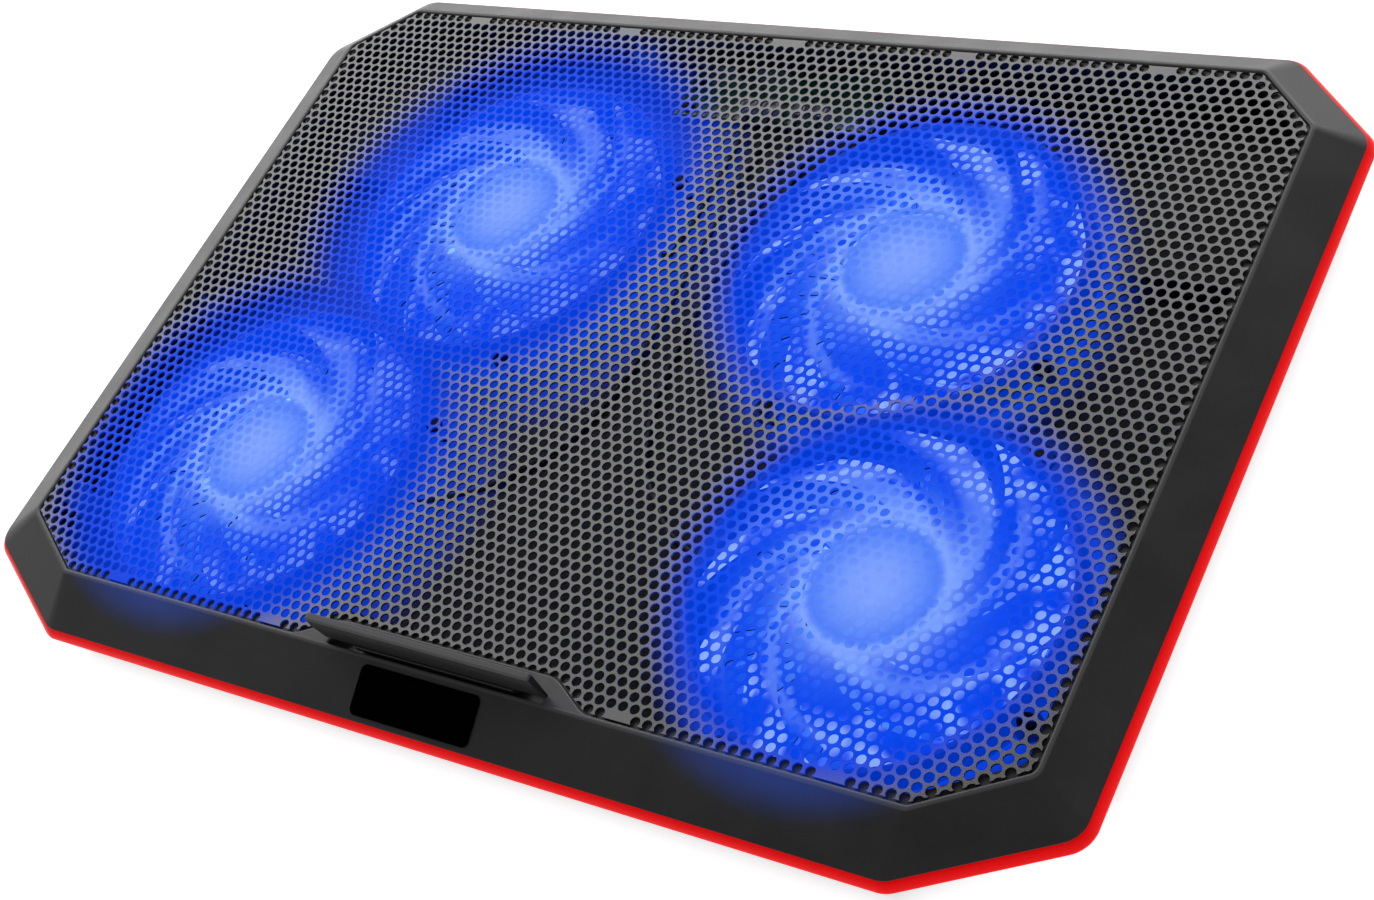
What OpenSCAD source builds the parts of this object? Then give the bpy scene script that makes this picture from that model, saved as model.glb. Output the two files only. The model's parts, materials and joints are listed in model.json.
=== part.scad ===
// Laptop cooling pad: a shallow casing with a perforated top, four lit fans, a fold-down stopper
// and two fold-out rear legs. Origin on the table under the middle of the casing, +Z up, front at -Y.

/* [Casing] */
// Width across the trim
body_w = 378.6; // [376:0.1:390]
// Depth across the trim
body_d = 267.6; // [267:0.1:276]
// Height of the grille above the table
top_z = 24; // [24:0.5:26]
// Drop of the bevel from the grille's lip to the trim
bevel_drop = 6.4; // [5.6:0.2:7.2]
// Height of the trim bead
trim_h = 3.3; // [2.6:0.1:3.5]
// Thickness of the moulded walls
wall = 2; // [1.6:0.2:2.2]

/* [Grille] */
// Width of the grille opening
grille_w = 346; // [344:1:348]
// Depth of the grille opening
grille_d = 235; // [233:1:236]
// Thickness of the grille sheet
grille_t = 1; // [0.8:0.1:1.2]
// Gap between the grille and the frame
grille_gap = 0.4; // [0.3:0.1:0.6]

/* [Fans] */
// Outer radius of a fan's ring
ring_r = 54; // [52:0.5:54]
// Radius of a fan's hub
hub_r = 20; // [18:0.5:22]
// Number of blades on a fan
blade_count = 9; // [7:1:11]

/* [Stopper] */
// Width of the stopper
flap_w = 78.8; // [70:0.1:79]
// Height of the stopper above the grille
flap_rise = 12; // [8:0.5:14]
// Thickness of the stopper
flap_t = 2.3; // [1.8:0.1:2.4]

/* [Legs] */
// Width of a rear leg
leg_w = 36; // [30:1:36]
// Length of a rear leg from its hinge to its tip
leg_len = 50; // [40:1:50]

/* [Hidden] */
FANS = ["front_left", "front_right", "rear_left", "rear_right"];
FAN_NODES = ["fan_frame", "fan_rotor", "rotor_shaft", "rotor_magnet", "fan_bearing", "fan_stator",
    "motor_board", "fan_lights", "fan_lead"];
SIDES = ["left", "right"];
NODES = concat(
    ["top_frame", "grille", "red_trim", "badge_plate", "stopper_flap", "stopper_pin", "bottom_cover",
     "rubber_feet", "cover_screws", "fan_screws", "board_screws", "control_board", "lead_sockets",
     "usb_port_left", "usb_port_right", "switch_body", "switch_knob"],
    [for (side = SIDES, piece = ["leg", "leg_pin", "leg_pad"]) str(piece, "_", side)],
    [for (fan = FANS, piece = FAN_NODES) str(piece, "_", fan)]);
node = "all";

$fn = 64;
skin = 0.01;          // thickness of the slices that a sloping side is stretched between
over = 1;             // how far a cutter runs past the face it opens
fit = 0.1;            // gap between two fixed pieces that sit one in the other

// Levels, from the table up
foot_h = 2;
cover_z = foot_h;
floor_z = cover_z + wall;
trim_top = top_z - bevel_drop;
trim_z = trim_top - trim_h;
seat_z = top_z - grille_t;
ledge_z = seat_z - 1.6;

// Outlines
lip_w = 1.3;          // flat land around the grille opening
bevel_run = 16.9;     // depth of the front bevel, seen from above
ledge_w = 3;          // shelf under the grille's edge
trim_out = 1.6;       // how far the trim stands out past the bevel
skirt_in = 3.5;       // from the trim's outer face to the frame's skirt behind it
cover_slope = 6.3;    // how far the cover's sides lean in from the trim to the bottom
front_y = -body_d / 2;
grille_front = front_y + bevel_run + lip_w + trim_out;
grille_rear = grille_front + grille_d;
bump_foot = 51;
bump_top = 38;
bump_d = 7.8;

// Fans
fan_x = [109, 72];    // front pair, rear pair
fan_y = [-56.5, 45.5];
fan_z = floor_z + 1;
ring_h = 12;
ring_t = 1.5;
ear_turn = 45;        // the ears stand clear of the neighbouring fan by this angle
ear_at = ring_r + 2.5;
ear_r = 4;
ear_z = fan_z + 3;
ear_t = 2.5;
ear_post_r = 2.4;     // the post under an ear and the screw head on it both clear the ring
base_t = 1.6;
blade_r = ring_r - 2.8;
blade_z = fan_z + 3.8;
blade_h = 7.4;
hub_z = fan_z + 2.6;
hub_h = 9;
hub_t = 1.4;
shaft_r = 1;
shaft_gap = 0.03;
bearing_r = 2.5;
tube_r = 3.6;
tube_h = 7;

// Stopper
pivot_y = grille_front + 4;
pivot_z = top_z - 1.5;
pin_r = 0.75;
barrel_r = 1.3;
flap_back = 1.9;      // distance from the pivot forward to the back of the upright plate
pocket_front = pivot_y - 4.6;
pocket_rear = grille_front + bump_d - 1.2;
pocket_w = [79.8, 58];
pocket_z = pivot_z - 1.7;
pocket_block_w = 96;
pin_len = 74;
knuckle_w = 57;

// Legs
leg_x = 150;
leg_y = 108;
leg_z = cover_z + 3.6;
leg_t = 4;
leg_barrel = 3.2;
leg_pin_r = 1.6;
leg_gap = 0.6;
leg_roof = leg_z + 3.8;
leg_wall_x = leg_w / 2 + leg_gap + wall;
leg_rim = 5;          // solid edge around the leg's recess
leg_web = 1.6;        // floor of the recess
pad_t = 2;

// Electronics
board = [[-42, 101], [32, 124]];
board_z = floor_z + 1;
board_t = 1.6;
board_top = board_z + board_t;
usb_x = [-30, -10];
usb_size = [13.2, 14, 5.7];
bezel_x = [-40, 30];
bezel_y = 131.5;
port_depth = 12;
port_gap = 0.2;
switch_x = 22;
switch_travel = 2.5;
switch_w = 9;
switch_h = 4;

// Screws
screw_at = [[174, -85], [174, -5], [174, 75], [75, -119], [60, 119.5], [145, 119.5]];
board_screw_at = [[-38, 104.5], [28, 104.5], [-38, 113.5], [28, 113.5]];
foot_at = [[150, -108], [118, 112]];
screw_head_z = cover_z + 4;
screw_bore_top = trim_z + 5.4;

// A rectangle with four clipped corners, anticlockwise from the front left
function clipped(w, front, rear, front_cut, rear_cut) = [
    [-w / 2 + front_cut[0], front], [w / 2 - front_cut[0], front],
    [w / 2, front + front_cut[1]], [w / 2, rear - rear_cut[1]],
    [w / 2 - rear_cut[0], rear], [-w / 2 + rear_cut[0], rear],
    [-w / 2, rear - rear_cut[1]], [-w / 2, front + front_cut[1]]];

function unit(v) = v / norm(v);
function after(points, i) = points[(i + 1) % len(points)];
function before(points, i) = points[(i + len(points) - 1) % len(points)];
function outward(from, to) = [unit(to - from)[1], -unit(to - from)[0]];

// The outline moved inwards by d along every side
function inset(points, d) = [for (i = [0 : len(points) - 1])
    let (n1 = outward(before(points, i), points[i]), n2 = outward(points[i], after(points, i)))
    points[i] - d * (n1 + n2) / (1 + n1 * n2)];

// One corner as an arc of radius r, whichever way it turns
function corner(a, p, b, r, steps) =
    let (d1 = unit(p - a), d2 = unit(b - p), side = sign(cross(d1, d2)), turn = acos(d1 * d2),
         n1 = side * [d1[1], -d1[0]], middle = p - d1 * r * tan(turn / 2) - n1 * r,
         start = atan2(n1[1], n1[0]))
    [for (k = [0 : steps]) let (angle = start + side * turn * k / steps)
        middle + r * [cos(angle), sin(angle)]];

// The outline with its corners rounded, one radius for each corner
function rounded(points, radii, steps = 5) = [for (i = [0 : len(points) - 1])
    each corner(before(points, i), points[i], after(points, i), radii[i], steps)];

function same(r, n) = [for (i = [1 : n]) r];

trim_line = clipped(body_w, front_y, front_y + body_d, [43, 24.7], [30.1, 27.6]);
opening_line = clipped(grille_w, grille_front, grille_rear, [26.6, 16.3], [19, 18]);
notched_line = concat([opening_line[0], [-bump_foot, grille_front], [-bump_top, grille_front + bump_d],
    [bump_top, grille_front + bump_d], [bump_foot, grille_front]],
    [for (i = [1 : 7]) opening_line[i]]);
notched_radii = [3, 9, 9, 9, 9, 3, 3, 3, 3, 3, 3, 3];

module slab(line, r, z, h) {
    translate([0, 0, z]) linear_extrude(h) polygon(rounded(line, same(r, len(line))));
}

module notched_slab(d, z, h) {
    translate([0, 0, z]) linear_extrude(h) polygon(rounded(inset(notched_line, d), notched_radii));
}

module box(low, high) {
    translate(low) cube(high - low);
}

module tube(r_out, r_in, z, h) {
    translate([0, 0, z]) difference() {
        cylinder(h = h, r = r_out);
        translate([0, 0, -over]) cylinder(h = h + 2 * over, r = r_in);
    }
}

// Puts its children at a place and at its mirror image across the middle
module both(places) {
    for (p = places, side = [-1, 1]) translate([side * p[0], p[1], 0]) children();
}

function fan_place(i) = [(i % 2 == 0 ? -1 : 1) * fan_x[floor(i / 2)], fan_y[floor(i / 2)]];

// Direction from a fan to its neighbour on the same side of the casing
function neighbour_angle(i) = let (d = fan_place((i + 2) % 4) - fan_place(i)) atan2(d[1], d[0]);
function ear_angle(i, k) = neighbour_angle(i) + ear_turn + 90 * k;

module at_ears(i, r) {
    for (k = [0 : 3]) rotate(ear_angle(i, k)) translate([r, 0, 0]) children();
}

module at_fan(i) {
    translate(concat(fan_place(i), 0)) children();
}

// Moves a shape drawn in the Y-Z plane so that it is w wide along X, centred
module across(w) {
    rotate([90, 0, 90]) translate([0, 0, -w / 2]) linear_extrude(w) children();
}

module bar(r, y, z, x_low, x_high) {
    translate([x_low, y, z]) rotate([0, 90, 0]) cylinder(h = x_high - x_low, r = r);
}

// ---- top frame ----

module bevel_solid() {
    hull() {
        slab(inset(opening_line, -lip_w), 4, top_z - skin, skin);
        slab(inset(trim_line, trim_out), 8, trim_top, skin);
    }
}

module frame_hollow() {
    hull() {
        slab(inset(opening_line, 0), 3, ledge_z - skin, skin);
        slab(inset(trim_line, skirt_in + wall), 5, trim_z - over, skin);
    }
}

module frame_bosses() {
    both(screw_at) translate([0, 0, trim_z - over]) cylinder(h = bevel_drop + trim_h, r = 3.8);
}

module pocket_block() {
    box([-pocket_block_w / 2, pocket_front - wall - 0.5, pocket_z - wall],
        [pocket_block_w / 2, pocket_rear + wall + 1, top_z]);
}

module stopper_pocket() {
    translate([0, 0, pocket_z]) linear_extrude(top_z)
        polygon([[-pocket_w[0] / 2, pocket_front], [pocket_w[0] / 2, pocket_front],
                 [pocket_w[1] / 2, pocket_rear], [-pocket_w[1] / 2, pocket_rear]]);
}

bevel_tilt = atan(bevel_drop / bevel_run);
badge_size = [42, 14.4];
badge_x = -2;
badge_t = 1.2;
badge_sunk = 0.6;

// On the middle of the front bevel, with +Z along the bevel's outward normal
module on_front_bevel() {
    translate([badge_x, front_y + trim_out + bevel_run / 2, trim_top + bevel_drop / 2])
        rotate([bevel_tilt, 0, 0]) children();
}

module badge_shape(gap) {
    w = badge_size[0] / 2 + gap;
    d = badge_size[1] / 2 + gap;
    polygon(rounded([[-w, -d], [w, -d], [w, d], [-w, d]], same(2, 4)));
}

module top_frame() {
    color("#26262a") difference() {
        union() {
            bevel_solid();
            slab(inset(trim_line, skirt_in), 6, trim_z, trim_h + skin);
        }
        difference() {
            frame_hollow();
            frame_bosses();
            pocket_block();
        }
        notched_slab(ledge_w, trim_z - over, top_z);
        notched_slab(0, seat_z, top_z);
        stopper_pocket();
        bar(pin_r + 0.02, pivot_y, pivot_z, -pocket_block_w / 2 - over, pin_len / 2 + 0.2);
        on_front_bevel() translate([0, 0, -badge_sunk]) linear_extrude(2 * badge_t) badge_shape(fit);
        both(screw_at) translate([0, 0, trim_z - over])
            cylinder(h = screw_bore_top - trim_z + over, r = 1.52);
    }
}

module grille() {
    color("#8a8a8e") notched_slab(grille_gap, seat_z, grille_t);
}

module red_trim() {
    color("#e01010") difference() {
        hull() {
            slab(trim_line, 9, trim_z, 0.6);
            slab(inset(trim_line, trim_out), 8, trim_top - skin, skin);
        }
        slab(inset(trim_line, skirt_in - fit), 6, trim_z - over, trim_h + 2 * over);
    }
}

module badge_plate() {
    color("#050505") on_front_bevel() translate([0, 0, -badge_sunk])
        linear_extrude(badge_t) badge_shape(0);
}

// ---- stopper ----

module stopper_flap() {
    color("#3a3a3e") translate([0, pivot_y, pivot_z]) difference() {
        union() {
            across(flap_w) polygon(rounded([[-flap_back - flap_t, flap_back], [-flap_back, flap_back],
                [-flap_back, flap_rise + 1.5], [-flap_back - flap_t, flap_rise + 1.5]],
                [0.4, 0.4, 0.8, 0.8]));
            across(knuckle_w) polygon([[0, barrel_r], [-flap_back, 2 * barrel_r],
                [-flap_back - flap_t, 2 * barrel_r], [-flap_back - flap_t, 0.6], [-3.4, -0.6],
                [0, -barrel_r]]);
            bar(barrel_r, 0, 0, -knuckle_w / 2, knuckle_w / 2);
        }
        bar(pin_r + 0.05, 0, 0, -flap_w, flap_w);
    }
}

module stopper_pin() {
    color("silver") bar(pin_r, pivot_y, pivot_z, -pin_len / 2, pin_len / 2);
}

// ---- bottom cover ----

module cover_solid(d, z, h) {
    hull() {
        slab(inset(trim_line, cover_slope + 1 + d), 7, z, skin);
        slab(inset(trim_line, 1 + d), 8, z + h - skin, skin);
    }
}

module vents() {
    for (k = [0 : 15]) rotate(22.5 * k) box([14, -1.5, 0], [24, 1.5, foot_h + 2 * wall]);
    for (k = [0 : 31]) rotate(11.25 * k) box([28, -1.7, 0], [47, 1.7, foot_h + 2 * wall]);
}

module leg_pocket(grow, roof) {
    half = leg_w / 2 + leg_gap + grow;
    box([-half, leg_y - leg_len - 0.8 - grow, cover_z - (grow > 0 ? 0 : over)],
        [half, leg_y + 4.6 + grow, roof]);
}

module bezel_block() {
    box([bezel_x[0], bezel_y - 5.5, floor_z - skin], [bezel_x[1], bezel_y, trim_z - 1]);
}

module port_cuts() {
    half = usb_size[0] / 2 + port_gap;
    low = board_top - port_gap;
    for (x = usb_x) box([x - half, bezel_y - port_depth, low],
                        [x + half, bezel_y + over, board_top + usb_size[2] + port_gap]);
    box([switch_x - switch_w / 2 - 0.5, bezel_y - 8, low],
        [switch_x + switch_w / 2 + 0.5, bezel_y - wall, board_top + switch_h + port_gap]);
    box([switch_x - switch_travel - 0.4, bezel_y - wall - over, board_top + 0.7],
        [switch_x + switch_travel + 0.3, bezel_y + over, board_top + switch_h - 0.7]);
}

module cover_posts() {
    both(screw_at) translate([0, 0, cover_z]) cylinder(h = trim_z - cover_z, r = 4.2);
    for (i = [0 : 3]) at_fan(i) at_ears(i, ear_at)
        translate([0, 0, floor_z - skin]) cylinder(h = ear_z - floor_z + skin, r = ear_post_r);
    for (p = board_screw_at) translate([p[0], p[1], floor_z - skin])
        cylinder(h = board_z - floor_z + skin, r = 2.5);
}

module cover_bores() {
    both(screw_at) {
        translate([0, 0, cover_z - over]) cylinder(h = screw_head_z - cover_z + over, r = 3.2);
        translate([0, 0, cover_z]) cylinder(h = trim_z, r = 1.6);
    }
    for (i = [0 : 3]) at_fan(i) at_ears(i, ear_at)
        translate([0, 0, floor_z - 0.6]) cylinder(h = ear_z, r = 1.42);
    for (p = board_screw_at) translate([p[0], p[1], floor_z - 1]) cylinder(h = 4, r = 0.97);
}

module bottom_cover() {
    color("#1c1c1f") difference() {
        union() {
            difference() {
                cover_solid(0, cover_z, trim_z - cover_z);
                difference() {
                    cover_solid(wall, floor_z, trim_z - floor_z + over);
                    bezel_block();
                    both([[leg_x, 0]]) leg_pocket(wall, leg_roof + 1.6);
                }
            }
            cover_posts();
        }
        both([[leg_x, 0]]) leg_pocket(0, leg_roof);
        both([[leg_x, 0]]) bar(leg_pin_r + 0.02, leg_y, leg_z, -leg_wall_x, leg_wall_x);
        for (i = [0 : 3]) at_fan(i) vents();
        port_cuts();
        cover_bores();
    }
}

module rubber_feet() {
    color("#101010") both(foot_at) cylinder(h = foot_h, r = 8);
}

// ---- legs ----

module leg() {
    color("#1c1c1f") difference() {
        union() {
            box([-leg_w / 2, leg_y - leg_len + pad_t, leg_z - leg_barrel],
                [leg_w / 2, leg_y, leg_z - leg_barrel + leg_t]);
            bar(leg_barrel, leg_y, leg_z, -leg_w / 2, leg_w / 2);
        }
        bar(leg_pin_r + 0.05, leg_y, leg_z, -leg_w, leg_w);
        box([-leg_w / 2 + leg_rim, leg_y - leg_len + pad_t + leg_rim, leg_z - leg_barrel + leg_web],
            [leg_w / 2 - leg_rim, leg_y - leg_barrel - leg_rim, leg_z + leg_barrel]);
    }
}

module leg_pin() {
    color("silver") bar(leg_pin_r, leg_y, leg_z, 0.2 - leg_wall_x, leg_wall_x - 0.2);
}

module leg_pad() {
    color("#101010") box([-leg_w / 2, leg_y - leg_len, leg_z - leg_barrel],
                         [leg_w / 2, leg_y - leg_len + pad_t, leg_z - leg_barrel + leg_t]);
}

// ---- fans ----

module fan_frame(i) {
    color("#2c2c30") difference() {
        union() {
            translate([0, 0, fan_z]) cylinder(h = ring_h, r = ring_r);
            at_ears(i, ear_at) translate([0, 0, ear_z]) cylinder(h = ear_t, r = ear_r);
        }
        difference() {
            translate([0, 0, fan_z + base_t]) cylinder(h = ring_h, r = ring_r - ring_t);
            translate([0, 0, fan_z]) cylinder(h = base_t + tube_h, r = tube_r);
        }
        difference() {
            tube(ring_r - 4, 19, fan_z - over, base_t + 2 * over);
            at_ears(i, 0) box([0, -2.5, 0], [ring_r, 2.5, top_z]);
        }
        at_ears(i, ear_at) translate([0, 0, fan_z]) cylinder(h = ring_h, r = 1.6);
        translate([0, 0, fan_z + base_t / 2]) cylinder(h = ring_h, r = bearing_r);
    }
}

// Blades sweep round as they go out, and slope from their trailing edge up to their leading edge
blade_sweep = 62;
blade_bays = 5;
blade_t = 1.4;

function blade_section(t) =
    let (r = hub_r - 0.7 + (blade_r - hub_r + 0.7) * t, angle = blade_sweep * t,
         chord = 17 - 4 * t, thick = blade_t / r * 180 / PI)
    [for (corner = [[-chord, 0], [-chord + thick, 0], [chord + thick, blade_h], [chord, blade_h]])
        [r * cos(angle + corner[0]), r * sin(angle + corner[0]), corner[1]]];

module blade() {
    points = [for (k = [0 : blade_bays]) each blade_section(k / blade_bays)];
    walls = [for (k = [0 : blade_bays - 1], c = [0 : 3]) let (a = 4 * k + c, b = 4 * k + (c + 1) % 4)
        each [[a, b + 4, b], [a, a + 4, b + 4]]];
    last = 4 * blade_bays;
    polyhedron(points, concat(walls, [[0, 1, 2, 3], [last + 3, last + 2, last + 1, last]]));
}

module fan_rotor() {
    color("#3060ff") difference() {
        union() {
            translate([0, 0, hub_z]) cylinder(h = hub_h, r = hub_r);
            for (k = [0 : blade_count - 1]) rotate(360 / blade_count * k)
                translate([0, 0, blade_z]) blade();
        }
        tube(hub_r - hub_t, tube_r - 0.6, hub_z - over, hub_h - hub_t + over);
        translate([0, 0, hub_z - over]) cylinder(h = 4 + over, r = tube_r);
        translate([0, 0, hub_z - over]) cylinder(h = hub_h - hub_t + over, r = shaft_r);
        tube(tube_r, shaft_r, hub_z - over, hub_h - hub_t - 1.6 + over);
    }
}

module rotor_shaft() {
    color("silver") translate([0, 0, hub_z]) cylinder(h = hub_h - hub_t, r = shaft_r);
}

module rotor_magnet() {
    color("#404040") tube(hub_r - hub_t, hub_r - hub_t - 1.9, hub_z + 0.4, 6.8);
}

module fan_bearing() {
    color("#b08d57") tube(bearing_r, shaft_r + shaft_gap, fan_z + base_t + 0.4, tube_h - 0.6);
}

module fan_stator() {
    color("#b87333") difference() {
        tube(hub_r - hub_t - 2.6, tube_r + 0.05, fan_z + base_t + 1.6, 4.4);
        for (k = [0 : 5]) rotate(60 * k) {
            translate([hub_r - 8, 0, 0]) cylinder(h = top_z, r = 2.6);
            box([hub_r - 8, -0.9, 0], [hub_r, 0.9, top_z]);
        }
    }
}

module motor_board() {
    color("#1d4d2c") tube(15.5, tube_r + 0.4, fan_z + base_t, 0.8);
}

module fan_lights(i) {
    color("#a0c0ff") at_ears(i, 26) translate([0, 0, fan_z + base_t]) box([-1.6, -1.6, 0], [1.6, 1.6, 1.4]);
}

module fan_screws() {
    color("silver") for (i = [0 : 3]) at_fan(i) at_ears(i, ear_at) {
        translate([0, 0, floor_z - 0.4]) cylinder(h = ear_z + ear_t - floor_z + 0.4, r = 1.4);
        translate([0, 0, ear_z + ear_t]) cylinder(h = 1.5, r = ear_post_r);
    }
}

// ---- leads ----

lead_r = 0.8;
lead_low = floor_z + 1.2;
socket_x = [-13, 13, -5, 5];
socket_y = 102.8;

// A lead leaves its fan's ring on the inner side, runs back between the rear fans and rises to its socket
function lead_route(i) = let (side = i % 2 == 0 ? -1 : 1, place = fan_place(i), lane = socket_x[3 - i],
                              start = place - [side * (ring_r + 0.3), 0])
    concat([[start[0], start[1], lead_low], [start[0] - side * 3, start[1] + 0.5, lead_low]],
        i < 2 ? [[side * 34, -48, lead_low], [side * 16, -30, lead_low], [side * 8, -10, lead_low],
                 [side * 5.5, 8, lead_low], [side * 5, 24, lead_low]]
              : [[side * 14, 52, lead_low], [side * 13, 60, lead_low]],
        [[side * abs(lane), 92, lead_low], [side * abs(lane), 96, lead_low + 1.4],
         [side * abs(lane), 99.5, lead_low + 3.2], [side * abs(lane), socket_y - 0.15, lead_low + 3.6]]);

function direction(route, i) = unit(route[min(i + 1, len(route) - 1)] - route[max(i - 1, 0)]);

function ring_points(route, i, sides) =
    let (d = direction(route, i), u = unit(cross([0, 0, 1], d)), v = cross(d, u))
    [for (k = [0 : sides - 1]) route[i] + lead_r * (u * cos(360 * k / sides) + v * sin(360 * k / sides))];

module swept(route, sides = 8) {
    n = len(route);
    points = [for (i = [0 : n - 1]) each ring_points(route, i, sides)];
    walls = [for (i = [0 : n - 2], k = [0 : sides - 1]) let (m = (k + 1) % sides)
        [i * sides + k, (i + 1) * sides + k, (i + 1) * sides + m, i * sides + m]];
    ends = [[for (k = [0 : sides - 1]) k],
            [for (k = [sides - 1 : -1 : 0]) (n - 1) * sides + k]];
    polyhedron(points, concat(ends, walls));
}

module fan_lead(i) {
    color("#202020") swept(lead_route(i));
}

// ---- electronics ----

module control_board() {
    color("#1d4d2c") difference() {
        box([board[0][0], board[0][1], board_z], [board[1][0], board[1][1], board_z + board_t]);
        for (p = board_screw_at) translate([p[0], p[1], 0]) cylinder(h = top_z, r = 1.3);
    }
}

module board_screws() {
    color("silver") for (p = board_screw_at) translate([p[0], p[1], 0]) {
        translate([0, 0, floor_z - 0.8]) cylinder(h = board_top - floor_z + 0.8, r = 0.95);
        translate([0, 0, board_top]) cylinder(h = 1.2, r = 2);
    }
}

module lead_sockets() {
    color("white") for (x = socket_x) difference() {
        box([x - 2.8, socket_y, board_top], [x + 2.8, socket_y + 4.5, board_top + 4.2]);
        box([x - 2, socket_y - over, board_top + 3.4], [x + 2, socket_y + 2.7, board_top + 5]);
    }
}

module usb_port(x) {
    low = [x - usb_size[0] / 2, bezel_y - usb_size[1], board_top];
    color("silver") difference() {
        box(low, low + usb_size);
        box(low + [0.35, 1, 0.3], low + usb_size + [-0.35, over, -0.3]);
    }
    color("white") box(low + [1.05, 1, 3], low + [usb_size[0] - 1.05, usb_size[1] - 1.2, 4.84]);
}

module switch_body() {
    half = switch_w / 2;
    color("silver") difference() {
        box([switch_x - half, bezel_y - 7, board_top],
            [switch_x + half, bezel_y - wall - 0.2, board_top + switch_h]);
        box([switch_x - half + 1.1, bezel_y - 5.5, board_top + 0.7],
            [switch_x + half - 1.1, bezel_y, board_top + switch_h - 0.7]);
    }
}

module switch_knob() {
    color("#101010") box([switch_x - switch_travel, bezel_y - 5.2, board_top + 1],
                         [switch_x, bezel_y + 1.4, board_top + switch_h - 1]);
}

module cover_screws() {
    color("silver") both(screw_at) {
        translate([0, 0, screw_head_z - 1.8]) cylinder(h = 1.8, r = 2.9);
        translate([0, 0, screw_head_z]) cylinder(h = screw_bore_top - fit - screw_head_z, r = 1.5);
    }
}

function wanted(name) = node == "all" || node == name;

if (wanted("top_frame")) top_frame();
if (wanted("grille")) grille();
if (wanted("red_trim")) red_trim();
if (wanted("badge_plate")) badge_plate();
if (wanted("stopper_flap")) stopper_flap();
if (wanted("stopper_pin")) stopper_pin();
if (wanted("bottom_cover")) bottom_cover();
if (wanted("rubber_feet")) rubber_feet();
if (wanted("cover_screws")) cover_screws();
if (wanted("fan_screws")) fan_screws();
if (wanted("board_screws")) board_screws();
if (wanted("control_board")) control_board();
if (wanted("lead_sockets")) lead_sockets();
if (wanted("usb_port_left")) usb_port(usb_x[0]);
if (wanted("usb_port_right")) usb_port(usb_x[1]);
if (wanted("switch_body")) switch_body();
if (wanted("switch_knob")) switch_knob();
for (s = [0, 1]) translate([(2 * s - 1) * leg_x, 0, 0]) {
    if (wanted(str("leg_", SIDES[s]))) leg();
    if (wanted(str("leg_pin_", SIDES[s]))) leg_pin();
    if (wanted(str("leg_pad_", SIDES[s]))) leg_pad();
}
for (i = [0 : 3]) at_fan(i) {
    if (wanted(str("fan_frame_", FANS[i]))) fan_frame(i);
    if (wanted(str("fan_rotor_", FANS[i]))) fan_rotor();
    if (wanted(str("rotor_shaft_", FANS[i]))) rotor_shaft();
    if (wanted(str("rotor_magnet_", FANS[i]))) rotor_magnet();
    if (wanted(str("fan_bearing_", FANS[i]))) fan_bearing();
    if (wanted(str("fan_stator_", FANS[i]))) fan_stator();
    if (wanted(str("motor_board_", FANS[i]))) motor_board();
    if (wanted(str("fan_lights_", FANS[i]))) fan_lights(i);
}
for (i = [0 : 3]) if (wanted(str("fan_lead_", FANS[i]))) fan_lead(i);
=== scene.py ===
import json
import math

import bmesh
import bpy
import numpy as np
from mathutils import Matrix, Vector, geometry


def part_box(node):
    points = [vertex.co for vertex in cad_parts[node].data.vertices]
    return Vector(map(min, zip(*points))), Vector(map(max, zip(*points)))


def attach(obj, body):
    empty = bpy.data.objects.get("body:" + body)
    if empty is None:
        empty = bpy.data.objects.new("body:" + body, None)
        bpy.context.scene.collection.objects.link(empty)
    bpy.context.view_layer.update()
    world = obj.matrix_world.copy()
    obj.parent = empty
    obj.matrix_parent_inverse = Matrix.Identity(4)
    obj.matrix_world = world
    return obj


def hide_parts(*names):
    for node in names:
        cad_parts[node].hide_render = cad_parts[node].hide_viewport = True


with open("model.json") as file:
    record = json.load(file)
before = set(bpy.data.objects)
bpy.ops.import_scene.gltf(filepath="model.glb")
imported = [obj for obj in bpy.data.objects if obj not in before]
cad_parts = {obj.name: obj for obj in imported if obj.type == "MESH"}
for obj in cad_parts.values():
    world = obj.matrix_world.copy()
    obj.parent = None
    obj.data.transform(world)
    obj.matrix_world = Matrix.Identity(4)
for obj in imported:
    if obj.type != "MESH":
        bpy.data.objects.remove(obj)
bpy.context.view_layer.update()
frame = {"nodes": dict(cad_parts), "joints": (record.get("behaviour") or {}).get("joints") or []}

# ---- sizes, in millimetres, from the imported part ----

MM = 0.001


def node_box(name):
    """The two corners of a CAD node's box, in millimetres."""
    low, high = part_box(name)
    return low / MM, high / MM


TRIM_LOW, TRIM_HIGH = node_box("red_trim")
GRILLE_LOW, GRILLE_HIGH = node_box("grille")
COVER_LOW, _ = node_box("bottom_cover")
FLAP_LOW, FLAP_HIGH = node_box("stopper_flap")
PIVOT = Vector(next(j for j in frame["joints"] if j["name"] == "stopper_hinge")["pos_m"]) / MM

TOP_Z = GRILLE_HIGH.z
SEAT_Z = GRILLE_LOW.z
TRIM_Z = TRIM_LOW.z
TRIM_TOP = TRIM_HIGH.z
COVER_Z = COVER_LOW.z
WALL = 2.0
FLOOR_Z = COVER_Z + WALL
FRONT_Y = TRIM_LOW.y
REAR_Y = TRIM_HIGH.y
BODY_HALF = TRIM_HIGH.x

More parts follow.
